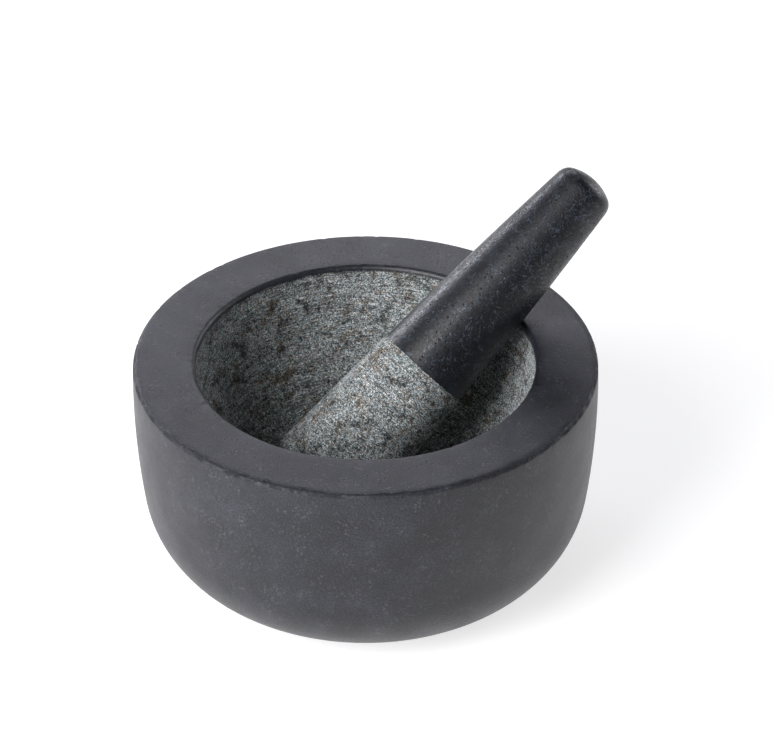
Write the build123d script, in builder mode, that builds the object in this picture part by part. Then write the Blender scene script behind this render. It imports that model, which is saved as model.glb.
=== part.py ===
from build123d import *

import os
from math import asin, atan2, cos, hypot, radians, sin, tan

# A wide stone mortar with a thick flat rim, and the stone pestle that leans in it.
# Frame: +Z up, origin at the centre of the mortar's flat foot, and the pestle leans
# towards +X. Lengths are in millimetres, angles in degrees.

# ---- driving dimensions -------------------------------------------------------------

# mortar, outside
outer_radius = 90.0
mortar_height = 90.0
foot_radius = 50.5
shoulder_radius = 37.5        # rounding between the foot and the wall
wall_flare = 7.2              # slope of the wall, from vertical, where it leaves the shoulder
rim_edge_radius = 1.6         # eased outer edge of the rim

# mortar, inside
bowl_radius = 65.8            # of the mouth and of the ball-shaped bowl below it
lip_depth = 3.2               # straight band between the rim and the round bowl
lip_edge_radius = 2.0         # eased inner edge of the rim

# pestle, with distances along its axis from the tip of the head
pestle_length = 168.6
head_radius = 22.2            # at the head's widest
head_dome_radius = 32.0       # of the blunt end that does the grinding
head_corner_radius = 10.0     # rounding between the blunt end and the head's side
head_taper = 2.9              # slope of the head's side, from the axis
finish_line = 69.3            # where the rough head ends and the polished grip begins
grip_step = 0.4               # how far the grip is ground below the head
grip_middle = 120.0
grip_middle_radius = 15.9
grip_end_radius = 12.15
crown_height = 4.0            # crown of the grip's end
crown_edge_radius = 6.0       # rounding between the grip's side and its crown

# how the pestle rests in the mortar
rest_gap = 0.3                # clearance left at both places where the stones meet
corner_angle = 9.3            # from straight below the bowl's centre, round to the head's corner
grip_radius_at_lip = 16.72    # the grip's radius where it crosses the lip


# ---- mortar -------------------------------------------------------------------------

flare = radians(wall_flare)
half_turn = radians(45)
bowl_centre_z = mortar_height - lip_depth
bowl_floor_z = bowl_centre_z - bowl_radius

shoulder_middle = (
    foot_radius + shoulder_radius * cos(half_turn),
    shoulder_radius * (1 - sin(half_turn)),
)
wall_foot = (
    foot_radius + shoulder_radius * cos(flare),
    shoulder_radius * (1 - sin(flare)),
)
bowl_middle = (
    bowl_radius * cos(half_turn),
    bowl_centre_z - bowl_radius * sin(half_turn),
)

with BuildPart() as mortar:
    with BuildSketch(Plane.XZ):
        with BuildLine():
            Line((0, 0), (foot_radius, 0))
            ThreePointArc((foot_radius, 0), shoulder_middle, wall_foot)
            TangentArc(wall_foot, (outer_radius, mortar_height), tangent=(sin(flare), cos(flare)))
            Line((outer_radius, mortar_height), (bowl_radius, mortar_height))
            Line((bowl_radius, mortar_height), (bowl_radius, bowl_centre_z))
            ThreePointArc((bowl_radius, bowl_centre_z), bowl_middle, (0, bowl_floor_z))
            Line((0, bowl_floor_z), (0, 0))
        make_face()
        fillet(vertices().group_by(Axis.Y)[-1].sort_by(Axis.X)[-1], rim_edge_radius)
        fillet(vertices().group_by(Axis.Y)[-1].sort_by(Axis.X)[0], lip_edge_radius)
    revolve(axis=Axis.Z)


# ---- where the pestle lies ----------------------------------------------------------

# The rounded corner of the head, from the head's axis and from its tip.
corner_off_axis = head_radius - head_corner_radius
dome_angle = asin(corner_off_axis / (head_dome_radius - head_corner_radius))
corner_from_tip = head_dome_radius - (head_dome_radius - head_corner_radius) * cos(dome_angle)

# The lower side of that corner sits in the round bowl, one gap off the wall.
corner_offset = bowl_radius - head_corner_radius - rest_gap
corner_x = -corner_offset * sin(radians(corner_angle))
corner_z = bowl_centre_z - corner_offset * cos(radians(corner_angle))

# From there the shaft passes one gap above the rounded edge of the lip.
lip_x = bowl_radius + lip_edge_radius - corner_x
lip_z = mortar_height - lip_edge_radius - corner_z
axis_to_lip = grip_radius_at_lip + lip_edge_radius + rest_gap
lean = atan2(lip_x, lip_z) - asin((axis_to_lip - corner_off_axis) / hypot(lip_x, lip_z))

pestle_direction = Vector(sin(lean), 0, cos(lean))
to_upper_side = Vector(-cos(lean), 0, sin(lean))
corner_to_axis = to_upper_side * corner_off_axis
pestle_tip = Vector(corner_x, 0, corner_z) + corner_to_axis - pestle_direction * corner_from_tip


# ---- pestle -------------------------------------------------------------------------

taper = radians(head_taper)
dome_end = (
    head_dome_radius * (1 - cos(dome_angle)),
    head_dome_radius * sin(dome_angle),
)
side_start = (
    corner_from_tip + head_corner_radius * sin(taper),
    corner_off_axis + head_corner_radius * cos(taper),
)
head_edge_radius = side_start[1] - (finish_line - side_start[0]) * tan(taper)
grip_start = (finish_line, head_edge_radius - grip_step)
grip_end = (pestle_length - crown_height, grip_end_radius)

# The outline is drawn with its first axis along the pestle, from the tip upwards.
pestle_plane = Plane(origin=pestle_tip, x_dir=pestle_direction, z_dir=(0, -1, 0))

with BuildPart() as pestle:
    with BuildSketch(pestle_plane):
        with BuildLine():
            TangentArc((0, 0), dome_end, tangent=(0, 1))
            TangentArc(dome_end, side_start, tangent=(sin(dome_angle), cos(dome_angle)))
            Line(side_start, (finish_line, head_edge_radius))
            Line((finish_line, head_edge_radius), grip_start)
            ThreePointArc(grip_start, (grip_middle, grip_middle_radius), grip_end)
            TangentArc((pestle_length, 0), grip_end, tangent=(0, 1))
            Line((pestle_length, 0), (0, 0))
        make_face()
        fillet(vertices().sort_by(Axis.X)[-2], crown_edge_radius)
    revolve(axis=Axis(pestle_tip, pestle_direction))


# ---- write the parts ----------------------------------------------------------------

os.makedirs("parts", exist_ok=True)

mortar.part.label = "mortar"
export_step(mortar.part, "parts/mortar.step")

pestle.part.label = "pestle"
export_step(pestle.part, "parts/pestle.step")
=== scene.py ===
import math

import bpy
from mathutils import Matrix, Vector, noise


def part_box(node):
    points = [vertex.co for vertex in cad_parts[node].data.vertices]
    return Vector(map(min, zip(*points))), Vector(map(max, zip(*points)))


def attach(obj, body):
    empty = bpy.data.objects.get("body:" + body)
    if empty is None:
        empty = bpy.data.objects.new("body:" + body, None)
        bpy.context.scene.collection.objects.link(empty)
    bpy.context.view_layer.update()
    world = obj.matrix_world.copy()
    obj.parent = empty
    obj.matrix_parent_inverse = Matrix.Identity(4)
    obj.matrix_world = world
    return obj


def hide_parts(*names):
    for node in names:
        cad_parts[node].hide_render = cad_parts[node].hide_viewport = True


# A wide granite mortar, and the granite pestle that leans in it. Each stone is one mesh, turned from
# the CAD part's outline, and its wear is cut into that outline, so nothing stands outside the CAD part.

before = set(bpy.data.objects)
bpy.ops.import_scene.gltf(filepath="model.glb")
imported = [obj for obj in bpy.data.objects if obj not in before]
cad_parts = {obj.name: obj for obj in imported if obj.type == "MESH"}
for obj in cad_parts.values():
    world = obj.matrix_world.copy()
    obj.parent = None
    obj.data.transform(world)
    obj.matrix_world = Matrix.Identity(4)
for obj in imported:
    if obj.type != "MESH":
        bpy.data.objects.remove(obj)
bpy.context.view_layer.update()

MM = 0.001
TURN = 2 * math.pi

# ---- the mortar's outline, in metres, as the CAD part has it ------------------------

OUTER_RADIUS = 90.0 * MM
RIM_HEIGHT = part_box("mortar")[1].z
FOOT_RADIUS = 50.5 * MM
SHOULDER_RADIUS = 37.5 * MM
WALL_FLARE = math.radians(7.2)
RIM_EDGE = 1.6 * MM
BOWL_RADIUS = 65.8 * MM
LIP_DEPTH = 3.2 * MM
LIP_EDGE = 2.0 * MM
BOWL_CENTRE_Z = RIM_HEIGHT - LIP_DEPTH
BOWL_FLOOR = Vector((0, 0, BOWL_CENTRE_Z - BOWL_RADIUS))

# ---- the pestle's outline, along its own axis from the tip of the head --------------

PESTLE_LENGTH = 168.6 * MM
HEAD_RADIUS = 22.2 * MM
HEAD_DOME = 32.0 * MM
HEAD_CORNER = 10.0 * MM
HEAD_TAPER = math.radians(2.9)
FINISH_LINE = 69.3 * MM
GRIP_STEP = 0.4 * MM
GRIP_MIDDLE = (120.0 * MM, 15.9 * MM)
GRIP_END_RADIUS = 12.15 * MM
CROWN_HEIGHT = 4.0 * MM
CROWN_EDGE = 6.0 * MM
STEP_EASE = 1.8 * MM      # the head's edge wears down to the grip over this length

CORNER_OFF_AXIS = HEAD_RADIUS - HEAD_CORNER
DOME_ANGLE = math.asin(CORNER_OFF_AXIS / (HEAD_DOME - HEAD_CORNER))
CORNER_FROM_TIP = HEAD_DOME - (HEAD_DOME - HEAD_CORNER) * math.cos(DOME_ANGLE)

# ---- how the pestle rests in the mortar ---------------------------------------------

REST_GAP = 0.3 * MM
CORNER_ANGLE = math.radians(9.3)
GRIP_RADIUS_AT_LIP = 16.72 * MM


# ---- outlines -----------------------------------------------------------------------

def line(a, b, pitch):
    """Points from a towards b, about one pitch apart, without b itself."""
    steps = max(1, round(math.dist(a, b) / pitch))
    return [(a[0] + (b[0] - a[0]) * i / steps, a[1] + (b[1] - a[1]) * i / steps) for i in range(steps)]


def arc(centre, radius, start, end, pitch):
    """Points on an arc from one angle to another, about one pitch apart, without the last."""
    steps = max(1, round(abs(end - start) * radius / pitch))
    angles = [start + (end - start) * i / steps for i in range(steps)]
    return [(centre[0] + radius * math.cos(t), centre[1] + radius * math.sin(t)) for t in angles]


def arc_through(a, b, c, pitch):
    """Points on the arc from a to c through b, without c itself."""
    d = 2 * (a[0] * (b[1] - c[1]) + b[0] * (c[1] - a[1]) + c[0] * (a[1] - b[1]))
    squares = [p[0] ** 2 + p[1] ** 2 for p in (a, b, c)]
    x = (squares[0] * (b[1] - c[1]) + squares[1] * (c[1] - a[1]) + squares[2] * (a[1] - b[1])) / d
    y = (squares[0] * (c[0] - b[0]) + squares[1] * (a[0] - c[0]) + squares[2] * (b[0] - a[0])) / d
    start = math.atan2(a[1] - y, a[0] - x)
    end = math.atan2(c[1] - y, c[0] - x)
    return arc((x, y), math.dist((x, y), a), start, end, pitch)


def mortar_outline():
    """(radius, height, zone) from the middle of the foot, up the wall, over the rim and down the bowl."""
    wall_foot = (
        FOOT_RADIUS + SHOULDER_RADIUS * math.cos(WALL_FLARE),
        SHOULDER_RADIUS * (1 - math.sin(WALL_FLARE)),
    )
    run = (OUTER_RADIUS - wall_foot[0], RIM_HEIGHT - wall_foot[1])
    bend = WALL_FLARE - math.atan2(run[0], run[1])
    wall_radius = math.hypot(*run) / (2 * math.sin(bend))
    wall_centre = (
        wall_foot[0] - wall_radius * math.cos(WALL_FLARE),
        wall_foot[1] + wall_radius * math.sin(WALL_FLARE),
    )
    wall_end = math.asin((RIM_HEIGHT - RIM_EDGE - wall_centre[1]) / wall_radius)
    edge_centre = (wall_centre[0] + wall_radius * math.cos(wall_end) - RIM_EDGE, RIM_HEIGHT - RIM_EDGE)
    lip_centre = (BOWL_RADIUS + LIP_EDGE, RIM_HEIGHT - LIP_EDGE)
    quarter = math.pi / 2

    zones = [
        ("foot", line((0, 0), (FOOT_RADIUS, 0), 4 * MM)),
        ("wall", arc((FOOT_RADIUS, SHOULDER_RADIUS), SHOULDER_RADIUS, -quarter, -WALL_FLARE, 2 * MM)),
        ("wall", arc(wall_centre, wall_radius, -WALL_FLARE, wall_end, 2.5 * MM)),
        ("edge", arc(edge_centre, RIM_EDGE, 0, quarter, 0.35 * MM)),
        ("rim", line((edge_centre[0], RIM_HEIGHT), (lip_centre[0], RIM_HEIGHT), 2 * MM)),
        ("edge", arc(lip_centre, LIP_EDGE, quarter, 2 * quarter, 0.35 * MM)),
        ("lip", line((BOWL_RADIUS, lip_centre[1]), (BOWL_RADIUS, BOWL_CENTRE_Z), 0.6 * MM)),
        ("bowl", arc((0, BOWL_CENTRE_Z), BOWL_RADIUS, 0, -quarter, 1.0 * MM)),
    ]
    points = [(r, z, zone) for zone, run_points in zones for r, z in run_points]
    return points + [(0, BOWL_CENTRE_Z - BOWL_RADIUS, "bowl")]


def crown_outline(slope):
    """The crown of the grip, which is part of a ball, and the fillet that rounds it into the side."""
    ball_radius = (GRIP_END_RADIUS ** 2 + CROWN_HEIGHT ** 2) / (2 * CROWN_HEIGHT)
    ball_x = PESTLE_LENGTH - ball_radius
    rise = math.tan(slope)
    side = GRIP_END_RADIUS + (CROWN_HEIGHT - ball_radius) * rise - CROWN_EDGE / math.cos(slope)
    reach = (1 + rise ** 2) * (ball_radius - CROWN_EDGE) ** 2 - side ** 2
    along = (math.sqrt(reach) - side * rise) / (1 + rise ** 2)
    centre = (ball_x + along, side + along * rise)
    join = math.atan2(centre[1], along)
    fillet = arc(centre, CROWN_EDGE, math.pi / 2 + slope, join, 0.5 * MM)
    return fillet + arc((ball_x, 0), ball_radius, join, 0, 0.7 * MM) + [(PESTLE_LENGTH, 0)]


def pestle_outline():
    """(radius, distance from the tip, zone) along the pestle, from the tip to the grip's crown."""
    side_angle = math.pi / 2 - HEAD_TAPER
    dome = arc((HEAD_DOME, 0), HEAD_DOME, math.pi, math.pi - DOME_ANGLE, 0.9 * MM)
    corner_centre = (CORNER_FROM_TIP, CORNER_OFF_AXIS)
    corner = arc(corner_centre, HEAD_CORNER, math.pi - DOME_ANGLE, side_angle, 0.9 * MM)
    side_start = (
        CORNER_FROM_TIP + HEAD_CORNER * math.sin(HEAD_TAPER),
        CORNER_OFF_AXIS + HEAD_CORNER * math.cos(HEAD_TAPER),
    )
    head_edge = side_start[1] - (FINISH_LINE - side_start[0]) * math.tan(HEAD_TAPER)
    ease_start = (FINISH_LINE - STEP_EASE, head_edge + STEP_EASE * math.tan(HEAD_TAPER))
    grip_start = (FINISH_LINE, head_edge - GRIP_STEP)
    side = line(side_start, ease_start, 0.9 * MM) + line(ease_start, grip_start, 0.4 * MM)

    grip = arc_through(grip_start, GRIP_MIDDLE, (PESTLE_LENGTH - CROWN_HEIGHT, GRIP_END_RADIUS), 1.2 * MM)
    slope = math.atan2(grip[-1][1] - grip[-2][1], grip[-1][0] - grip[-2][0])
    crown = crown_outline(slope)
    grip = [point for point in grip if point[0] < crown[0][0] - 0.3 * MM] + crown
    zones = [("head", dome + corner + side), ("grip", grip)]
    return [(r, x, zone) for zone, points in zones for x, r in points]


# ---- turned meshes ------------------------------------------------------------------

def turned(name, outline, segments, cut, rough, pose=Matrix()):
    """A closed solid of revolution about Z, then moved to its pose. cut(place, zone) is the depth worn
    off at a point, and rough(place, zone) is stored on each vertex, 0 on finished stone and 1 on rough."""
    normals = []
    for i in range(len(outline)):
        a, b = outline[max(i - 1, 0)], outline[min(i + 1, len(outline) - 1)]
        dr, dz = b[0] - a[0], b[1] - a[1]
        size = math.hypot(dr, dz)
        normals.append((dz / size, -dr / size))
    normals[0] = (0, -1)
    normals[-1] = (0, math.copysign(1, normals[-1][1]))

    vertices, roughness, rings = [], [], []
    for (r, z, zone), (nr, nz) in zip(outline, normals):
        count = 1 if r < 1e-7 else segments
        rings.append((len(vertices), count))
        for k in range(count):
            angle = TURN * k / segments
            out = Vector((math.cos(angle), math.sin(angle), 0))
            place = out * r + Vector((0, 0, z))
            depth = cut(place, zone)
            vertices.append(pose @ (place - (out * nr + Vector((0, 0, nz))) * depth))
            roughness.append(rough(place, zone))

    faces = []
    for (a, a_count), (b, b_count) in zip(rings, rings[1:]):
        for k in range(segments):
            n = (k + 1) % segments
            if a_count == 1:
                faces.append((a, b + n, b + k))
            elif b_count == 1:
                faces.append((a + k, a + n, b))
            else:
                faces.append((a + k, a + n, b + n, b + k))

    mesh = bpy.data.meshes.new(name)
    mesh.from_pydata(vertices, [], faces)
    mesh.attributes.new("rough", "FLOAT", "POINT").data.foreach_set("value", roughness)
    mesh.shade_smooth()
    mesh.update()
    piece = bpy.data.objects.new(name, mesh)
    bpy.context.scene.collection.objects.link(piece)
    return piece


def hills(place, size, offset=0.0):
    """Smooth noise from 0 to 1 whose bumps are about one size across."""
    return 0.5 + 0.5 * noise.noise(place / size + Vector((offset, offset, offset)))


def bowl_tooling(place):
    """How deep the tool marks, pecks and grain of rough stone are in the bowl."""
    along = (place - BOWL_FLOOR).length
    ring = Vector((place.x / (14 * MM), place.y / (14 * MM), along / (1.9 * MM)))
    groove = 0.5 + 0.5 * noise.noise(ring)
    pecks = max(0.0, hills(place, 2.6 * MM, 3.1) - 0.56) * 2
    grain = hills(place, 1.3 * MM, 7.7)
    return (0.11 * groove + 0.30 * pecks + 0.10 * grain) * MM


def mortar_cut(place, zone):
    """Depth worn off the mortar's true outline, in metres."""
    wave = 0.10 * MM * hills(place, 30 * MM, 1.3)
    if zone == "foot":
        return 0
    if zone == "edge":
        nick = max(0.0, hills(place, 2.2 * MM, 5.5) - 0.66) * 1.6 * MM
        return wave + nick + 0.05 * MM * hills(place, 5 * MM, 2.2)
    if zone == "bowl":
        return 0.05 * MM + bowl_tooling(place)
    if zone == "rim":
        return 0.06 * MM * hills(place, 18 * MM, 4.1)
    return wave + 0.02 * MM * hills(place, 4 * MM, 6.4)


def mortar_rough(place, zone):
    """The finish over the mortar: rough in the bowl, fading through a half-finished band below the lip."""
    if zone not in ("lip", "bowl"):
        return 0.0
    ragged = 1.8 * MM * (hills(place, 5 * MM, 9.0) - 0.5)
    down = RIM_HEIGHT - LIP_EDGE - place.z + ragged
    return min(1.0, max(0.0, 0.34 + 0.45 * down / MM))


def pestle_cut(place, zone):
    """Depth worn off the pestle's true outline, in metres."""
    if zone == "grip":
        return (0.02 + 0.03 * hills(place, 14 * MM, 2.7)) * MM
    ring = Vector((place.x / (9 * MM), place.y / (9 * MM), place.z / (1.1 * MM)))
    groove = 0.5 + 0.5 * noise.noise(ring)
    pecks = max(0.0, hills(place, 2.4 * MM, 8.3) - 0.58) * 2
    return (0.04 * groove + 0.22 * pecks + 0.07 * hills(place, 1.2 * MM, 4.4)) * MM


def pestle_rough(place, zone):
    """The finish over the pestle, which changes at a sharp line between the head and the grip."""
    return 1.0 if zone == "head" else 0.0


# ---- where the pestle lies, worked out as the CAD part does it ----------------------

def pestle_pose():
    """The matrix that stands Z along the pestle, with the tip of its head at the origin."""
    offset = BOWL_RADIUS - HEAD_CORNER - REST_GAP
    corner = Vector((-offset * math.sin(CORNER_ANGLE), 0, BOWL_CENTRE_Z - offset * math.cos(CORNER_ANGLE)))
    lip = Vector((BOWL_RADIUS + LIP_EDGE, 0, RIM_HEIGHT - LIP_EDGE)) - corner
    axis_to_lip = GRIP_RADIUS_AT_LIP + LIP_EDGE + REST_GAP
    lean = math.atan2(lip.x, lip.z) - math.asin((axis_to_lip - CORNER_OFF_AXIS) / lip.length)
    turn = Matrix.Rotation(lean, 4, "Y")
    from_corner = turn @ Vector((-CORNER_OFF_AXIS, 0, -CORNER_FROM_TIP))
    return Matrix.Translation(corner + from_corner) @ turn


# ---- materials ----------------------------------------------------------------------

class Stone:
    """A material with one Principled shader, and short calls for the nodes that feed it."""

    def __init__(self, name):
        self.material = bpy.data.materials.new(name)
        self.material.use_nodes = True
        self.tree = self.material.node_tree
        self.shader = self.tree.nodes["Principled BSDF"]

    def node(self, kind, inputs=(), output=0, **settings):
        """Adds a node, sets its inputs from (name or index, value or socket) pairs, and gives one output."""
        made = self.tree.nodes.new(kind)
        for key, value in settings.items():
            setattr(made, key, value)
        for key, value in inputs:
            if isinstance(value, bpy.types.NodeSocket):
                self.tree.links.new(value, made.inputs[key])
            else:
                made.inputs[key].default_value = value
        return made.outputs[output]

    def place(self):
        return self.node("ShaderNodeTexCoord", output="Object")

    def math(self, operation, a, b=0.0, clamp=False):
        return self.node("ShaderNodeMath", [(0, a), (1, b)], operation=operation, use_clamp=clamp)

    def scaled(self, vector, x, y, z):
        pairs = [(0, vector), (1, (x, y, z))]
        return self.node("ShaderNodeVectorMath", pairs, operation="MULTIPLY")

    def noise(self, vector, size, detail=2.0, rough=0.5):
        pairs = [("Vector", vector), ("Scale", 1 / size), ("Detail", detail), ("Roughness", rough)]
        return self.node("ShaderNodeTexNoise", pairs)

    def cells(self, vector, size, output="Color"):
        pairs = [("Vector", vector), ("Scale", 1 / size)]
        return self.node("ShaderNodeTexVoronoi", pairs, output=output)

    def one_of(self, colour, index=0):
        return self.node("ShaderNodeSeparateColor", [(0, colour)], output=index)

    def steps(self, value, low, high, to_low=0.0, to_high=1.0):
        pairs = [("Value", value), (1, low), (2, high), (3, to_low), (4, to_high)]
        return self.node("ShaderNodeMapRange", pairs)

    def mix(self, factor, a, b, blend="MIX"):
        pairs = [("Factor", factor), (6, a), (7, b)]
        return self.node("ShaderNodeMix", pairs, output=2, data_type="RGBA", blend_type=blend)

    def ramp(self, value, stops):
        made = self.tree.nodes.new("ShaderNodeValToRGB")
        made.color_ramp.elements.remove(made.color_ramp.elements[1])
        for i, (position, colour) in enumerate(stops):
            element = made.color_ramp.elements[0] if i == 0 else made.color_ramp.elements.new(position)
            element.position = position
            element.color = (*colour, 1)
        self.tree.links.new(value, made.inputs[0])
        return made.outputs[0]

    def blend(self, shares):
        """The sum of some values, each times its share."""
        total = None
        for value, share in shares:
            part = self.math("MULTIPLY", value, share)
            total = part if total is None else self.math("ADD", total, part)
        return total

    def shifted(self, vector, distance):
        """The same coordinates moved away, for noise that shares nothing with the noise at place."""
        pairs = [(0, vector), (1, (distance, distance, distance))]
        return self.node("ShaderNodeVectorMath", pairs, operation="ADD")

    def bump(self, height, depth):
        pairs = [("Strength", 1.0), ("Distance", depth), ("Height", height)]
        return self.node("ShaderNodeBump", pairs)

    def feed(self, **sockets):
        for key, socket in sockets.items():
            self.tree.links.new(socket, self.shader.inputs[key.replace("_", " ")])


def srgb(code):
    """A linear colour from an #rrggbb code."""
    values = [int(code[i:i + 2], 16) / 255 for i in (1, 3, 5)]
    return tuple(v / 12.92 if v <= 0.04045 else ((v + 0.055) / 1.055) ** 2.4 for v in values)


def warped(s, place, size, amount):
    """place, shaken a little, so that cells lose their straight sides."""
    pairs = [("Vector", place), ("Scale", 1 / size), ("Detail", 1.0)]
    shake = s.node("ShaderNodeTexNoise", pairs, output="Color")
    centred = s.node("ShaderNodeVectorMath", [(0, shake), (1, (0.5, 0.5, 0.5))], operation="SUBTRACT")
    offset = s.node("ShaderNodeVectorMath", [(0, centred), ("Scale", amount)], operation="SCALE")
    return s.node("ShaderNodeVectorMath", [(0, place), (1, offset)], operation="ADD")


def pits(s, place, size, radii, pick):
    """1 inside tiny round pits. radii are their rim and their floor, and pick is which cells have one."""
    away = s.cells(place, size, output="Distance")
    chance = s.one_of(s.cells(place, size), 2)
    return s.math("MULTIPLY", s.steps(away, *radii), s.steps(chance, *pick))


def rough_granite(s, place, drawn):
    """(colour, height) of granite left rough. drawn is place stretched along the marks of the tool."""
    shaken = warped(s, place, 0.5 * MM, 0.35 * MM)
    grains = s.cells(shaken, 0.42 * MM)
    small = s.cells(shaken, 0.27 * MM)
    streaks = s.noise(drawn, 1.0, detail=3.0, rough=0.7)
    lines = s.noise(s.scaled(drawn, 0.14, 0.14, 1.2), 1.0, detail=2.0, rough=0.6)
    value = s.blend([
        (s.one_of(grains), 0.30), (s.one_of(small, 1), 0.24), (streaks, 0.54), (lines, 0.56)])
    colour = s.ramp(value, [
        (0.56, srgb("#0f1112")),
        (0.67, srgb("#4a5053")),
        (0.83, srgb("#8a9294")),
        (0.94, srgb("#bcc3c4")),
        (1.00, srgb("#e4e8e7")),
    ])

    # Some grains are feldspar, warmer than the rest, and some are bluish.
    hue = s.one_of(grains, 2)
    colour = s.mix(s.steps(hue, 0.76, 0.86), colour, (*srgb("#c0a68e"), 1), blend="MULTIPLY")
    colour = s.mix(s.steps(hue, 0.30, 0.20), colour, (*srgb("#c8d6d8"), 1), blend="MULTIPLY")

    # Brown stains and dark clumps a few millimetres wide, with pale stone between them.
    stains = s.noise(place, 7.0 * MM, detail=6.0, rough=0.78)
    colour = s.mix(s.steps(stains, 0.53, 0.61, 0.0, 0.9), colour, (*srgb("#ab937d"), 1), blend="MULTIPLY")
    clumps = s.noise(s.shifted(place, 0.31), 7.0 * MM, detail=6.0, rough=0.78)
    dark = s.steps(clumps, 0.565, 0.61, 1.0, 0.24)
    pale = s.steps(clumps, 0.38, 0.52, 1.25, 1.0)
    shade = s.math("MULTIPLY", dark, pale)
    colour = s.node("ShaderNodeVectorMath", [(0, colour), ("Scale", shade)], operation="SCALE")
    return colour, value


def honed_granite(s, place):
    """(colour, height) of dark granite ground smooth: soft clouds, fine grain, faint specks, and tiny pits
    with painted shade.
    """
    clouds = s.noise(place, 16 * MM, detail=5.0, rough=0.6)
    grain = s.noise(place, 0.6 * MM, detail=3.0, rough=0.75)
    value = s.blend([(clouds, 0.34), (grain, 0.9)])
    colour = s.ramp(value, [(0.44, srgb("#06070b")), (0.62, srgb("#17181f")), (0.82, srgb("#34353f"))])
    shaken = warped(s, place, 0.8 * MM, 0.5 * MM)
    spots = s.cells(shaken, 0.8 * MM)
    crowd = s.noise(s.shifted(place, 0.17), 7 * MM, detail=3.0)
    speck = s.math("MULTIPLY", s.steps(s.one_of(spots), 0.80, 0.98), s.steps(crowd, 0.45, 0.62))
    colour = s.mix(s.math("MULTIPLY", speck, 0.10), colour, (*srgb("#9a9a9c"), 1))
    pit = pits(s, shaken, 1.7 * MM, (0.24, 0.12), (0.62, 0.74))
    # The pits' dark colour is painted shade, standing in for the shade inside them; their dip in height is
    # real.
    colour = s.mix(s.math("MULTIPLY", pit, 0.75), colour, (*srgb("#060608"), 1))
    height = s.math("SUBTRACT", s.math("MULTIPLY", grain, 0.9), pit)
    return colour, height


def polished_granite(s, place):
    """(colour, height, roughness) of granite polished almost black, with blue-grey grains and fine pits with
    painted shade.
    """
    shaken = warped(s, place, 0.7 * MM, 0.4 * MM)
    grains = s.one_of(s.cells(shaken, 0.62 * MM))
    small = s.one_of(s.cells(shaken, 0.38 * MM), 1)
    mottle = s.noise(place, 5 * MM, detail=5.0, rough=0.7)
    value = s.blend([(grains, 0.34), (small, 0.30), (mottle, 0.9)])
    colour = s.ramp(value, [
        (0.60, srgb("#020306")),
        (0.80, srgb("#080a12")),
        (0.92, srgb("#181c24")),
        (1.00, srgb("#384048")),
    ])
    pit = pits(s, shaken, 1.5 * MM, (0.30, 0.14), (0.58, 0.70))
    # The pits' dark colour is painted shade inside them; their dip in height and higher roughness are real.
    colour = s.mix(pit, colour, (*srgb("#020203"), 1))
    height = s.blend([(value, 0.6), (pit, -1.0)])
    shine = s.math("ADD", s.steps(value, 0.6, 1.0, 0.48, 0.22), s.math("MULTIPLY", pit, 0.4))
    return colour, height, shine


def worn_edge(s, place, height):
    """1 along the rim's outer edge, where wear has taken the sheen off, with fainter stretches."""
    out = s.node("ShaderNodeVectorMath", [(0, s.scaled(place, 1, 1, 0))], output="Value", operation="LENGTH")
    near_wall = s.steps(out, OUTER_RADIUS - 1.2 * MM, OUTER_RADIUS - 0.5 * MM)
    near_rim = s.steps(height, RIM_HEIGHT - 2.0 * MM, RIM_HEIGHT - 1.1 * MM)
    fainter = s.steps(s.noise(place, 5 * MM, detail=5.0), 0.40, 0.56, 0.25, 1.0)
    return s.math("MULTIPLY", s.math("MULTIPLY", near_wall, near_rim), fainter)


def mortar_stone():
    s = Stone("mortar_stone")
    place = s.place()
    pairs = [(0, place), (1, BOWL_FLOOR)]
    along = s.node("ShaderNodeVectorMath", pairs, operation="DISTANCE", output="Value")
    flat = s.node("ShaderNodeSeparateXYZ", [(0, place)]).node.outputs
    drawn = s.node("ShaderNodeCombineXYZ", [
        (0, s.math("MULTIPLY", flat[0], 1 / (1.2 * MM))),
        (1, s.math("MULTIPLY", flat[1], 1 / (1.2 * MM))),
        (2, s.math("MULTIPLY", along, 1 / (0.34 * MM))),
    ])
    rough_colour, rough_height = rough_granite(s, place, drawn)
    honed_colour, honed_height = honed_granite(s, place)

    mask = s.node("ShaderNodeAttribute", attribute_name="rough", output="Fac")
    ragged = s.math("ADD", mask, s.math("MULTIPLY", s.math("SUBTRACT", s.noise(place, 0.6 * MM), 0.5), 1.2))
    mask = s.math("MULTIPLY", s.steps(ragged, 0.25, 0.95), s.steps(mask, 0.0, 0.2))
    colour = s.mix(mask, honed_colour, rough_colour)
    shine = s.math("ADD", s.math("MULTIPLY", s.noise(place, 12 * MM, detail=4.0), 0.16), 0.34)
    worn = worn_edge(s, place, flat[2])
    shine = s.math("ADD", shine, s.math("MULTIPLY", worn, 0.5), clamp=True)
    roughness = s.node("ShaderNodeMix", [("Factor", mask), (2, shine), (3, 0.85)])
    honed_bump = s.bump(honed_height, 0.13 * MM)
    rough_bump = s.bump(rough_height, 0.7 * MM)
    normal = s.mix(mask, honed_bump, rough_bump)
    s.feed(Base_Color=colour, Roughness=roughness, Normal=normal)
    s.shader.inputs["Specular IOR Level"].default_value = 0.5
    return s.material


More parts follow.
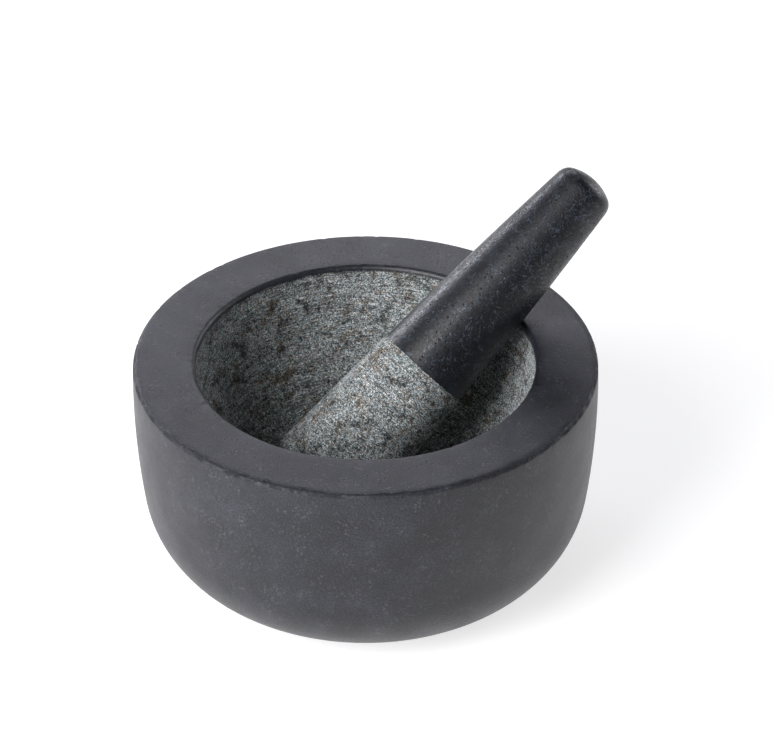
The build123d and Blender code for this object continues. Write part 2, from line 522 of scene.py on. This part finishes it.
def pestle_stone(pose):
    s = Stone("pestle_stone")
    place = s.node("ShaderNodeMapping", [
        ("Vector", s.place()),
        ("Location", pose.to_translation()),
        ("Rotation", pose.to_euler()),
    ], vector_type="TEXTURE")
    drawn = s.scaled(place, 1 / (0.9 * MM), 1 / (0.9 * MM), 1 / (0.34 * MM))
    head_colour, head_height = rough_granite(s, place, drawn)

    grip_colour, grip_height, shine = polished_granite(s, place)

    height = s.node("ShaderNodeSeparateXYZ", [(0, place)], output=2)
    wander = s.math("MULTIPLY", s.math("SUBTRACT", s.noise(place, 0.8 * MM), 0.5), 0.5 * MM)
    mask = s.steps(s.math("ADD", height, wander), FINISH_LINE + 0.03 * MM, FINISH_LINE - 0.07 * MM)
    colour = s.mix(mask, grip_colour, head_colour)
    roughness = s.node("ShaderNodeMix", [("Factor", mask), (2, shine), (3, 0.85)])
    normal = s.mix(mask, s.bump(grip_height, 0.16 * MM), s.bump(head_height, 0.5 * MM))
    s.feed(Base_Color=colour, Roughness=roughness, Normal=normal)
    s.shader.inputs["Specular IOR Level"].default_value = 0.42
    return s.material


# ---- pieces -------------------------------------------------------------------------

MORTAR_SEGMENTS = 440
PESTLE_SEGMENTS = 170

mortar = turned("mortar_stone", mortar_outline(), MORTAR_SEGMENTS, mortar_cut, mortar_rough)
mortar.data.materials.append(mortar_stone())
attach(mortar, "mortar")
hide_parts("mortar")

pose = pestle_pose()
pestle = turned("pestle_stone", pestle_outline(), PESTLE_SEGMENTS, pestle_cut, pestle_rough, pose)
pestle.data.materials.append(pestle_stone(pose))
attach(pestle, "pestle")
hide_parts("pestle")


# ---- floor, light and camera --------------------------------------------------------

CAMERA_AZIMUTH = math.radians(28.05)    # the camera stands this far round from the front, to the left
CAMERA_RISE = math.radians(34.12)
CAMERA_DISTANCE = 1.2665
CAMERA_LENS = 152.2
AIM_RIGHT = 8.26 * MM
AIM_DOWN = 7.07 * MM
SENSOR_WIDTH = 36
LIGHT_DISTANCE = 1.3
FLOOR_SIZE = 16.0
COOL = (0.92, 0.92, 1.0)

to_right = Vector((math.cos(CAMERA_AZIMUTH), -math.sin(CAMERA_AZIMUTH), 0))
to_back = Vector((math.sin(CAMERA_AZIMUTH), math.cos(CAMERA_AZIMUTH), 0))
to_up = Vector((0, 0, 1))


def studio(right, back, up):
    """A place in the room, given as the camera sees it, from the centre of the rim."""
    return to_right * right + to_back * back + to_up * (up + RIM_HEIGHT)


def look_at(thing, target):
    thing.rotation_euler = (target - thing.location).to_track_quat("-Z", "Y").to_euler()


def floor():
    mesh = bpy.data.meshes.new("floor")
    half = FLOOR_SIZE / 2
    corners = [(-half, -half, 0), (half, -half, 0), (half, half, 0), (-half, half, 0)]
    mesh.from_pydata(corners, [], [(0, 1, 2, 3)])
    material = bpy.data.materials.new("pale_floor")
    material.use_nodes = True
    shader = material.node_tree.nodes["Principled BSDF"]
    shader.inputs["Base Color"].default_value = (0.5, 0.5, 0.5, 1)
    shader.inputs["Roughness"].default_value = 0.9
    shader.inputs["Specular IOR Level"].default_value = 0.0
    shader.inputs["Emission Color"].default_value = (1, 1, 1, 1)
    shader.inputs["Emission Strength"].default_value = 0.66
    mesh.materials.append(material)
    piece = bpy.data.objects.new("floor", mesh)
    bpy.context.scene.collection.objects.link(piece)


def softbox(name, azimuth, elevation, width, height, power, colour=(1, 1, 1)):
    """A soft light aimed at the rim. Azimuth 0 is the camera's right and 90 is straight behind."""
    azimuth, elevation = math.radians(azimuth), math.radians(elevation)
    light = bpy.data.lights.new(name, "AREA")
    light.shape = "RECTANGLE"
    light.size = width
    light.size_y = height
    light.energy = power
    light.color = colour
    lamp = bpy.data.objects.new(name, light)
    lamp.location = studio(
        LIGHT_DISTANCE * math.cos(elevation) * math.cos(azimuth),
        LIGHT_DISTANCE * math.cos(elevation) * math.sin(azimuth),
        LIGHT_DISTANCE * math.sin(elevation))
    look_at(lamp, studio(0, 0, 0))
    bpy.context.scene.collection.objects.link(lamp)


def room(horizon, overhead):
    """A plain room with pale walls low down and a dim ceiling."""
    world = bpy.data.worlds.new("room")
    world.use_nodes = True
    tree = world.node_tree
    background = tree.nodes["Background"]
    background.inputs["Color"].default_value = (1, 1, 1, 1)
    direction = tree.nodes.new("ShaderNodeTexCoord")
    split = tree.nodes.new("ShaderNodeSeparateXYZ")
    fade = tree.nodes.new("ShaderNodeMapRange")
    fade.interpolation_type = "SMOOTHSTEP"
    fade.inputs["From Min"].default_value = 0.15
    fade.inputs["From Max"].default_value = 0.55
    fade.inputs["To Min"].default_value = horizon
    fade.inputs["To Max"].default_value = overhead
    tree.links.new(direction.outputs["Generated"], split.inputs[0])
    tree.links.new(split.outputs[2], fade.inputs[0])
    tree.links.new(fade.outputs[0], background.inputs["Strength"])
    bpy.context.scene.world = world


floor()
room(0.2, 0.08)
softbox("key_light", 225, 28, 0.8, 1.1, 34, (0.99, 0.98, 1.0))
softbox("back_light", 93, 28, 0.8, 0.6, 4.2, COOL)
softbox("side_light", 130, 14, 0.5, 0.7, 8.0, COOL)
softbox("fill_light", 35, 16, 0.7, 0.6, 6.0, COOL)

lens = bpy.data.cameras.new("camera")
lens.lens = CAMERA_LENS
lens.sensor_width = SENSOR_WIDTH
camera = bpy.data.objects.new("camera", lens)
camera.location = studio(
    0, -CAMERA_DISTANCE * math.cos(CAMERA_RISE), CAMERA_DISTANCE * math.sin(CAMERA_RISE))
look_at(camera, studio(
    AIM_RIGHT, -AIM_DOWN * math.sin(CAMERA_RISE), -AIM_DOWN * math.cos(CAMERA_RISE)))
bpy.context.scene.collection.objects.link(camera)
bpy.context.scene.camera = camera
bpy.context.scene.view_settings.view_transform = "Standard"

bpy.context.view_layer.update()
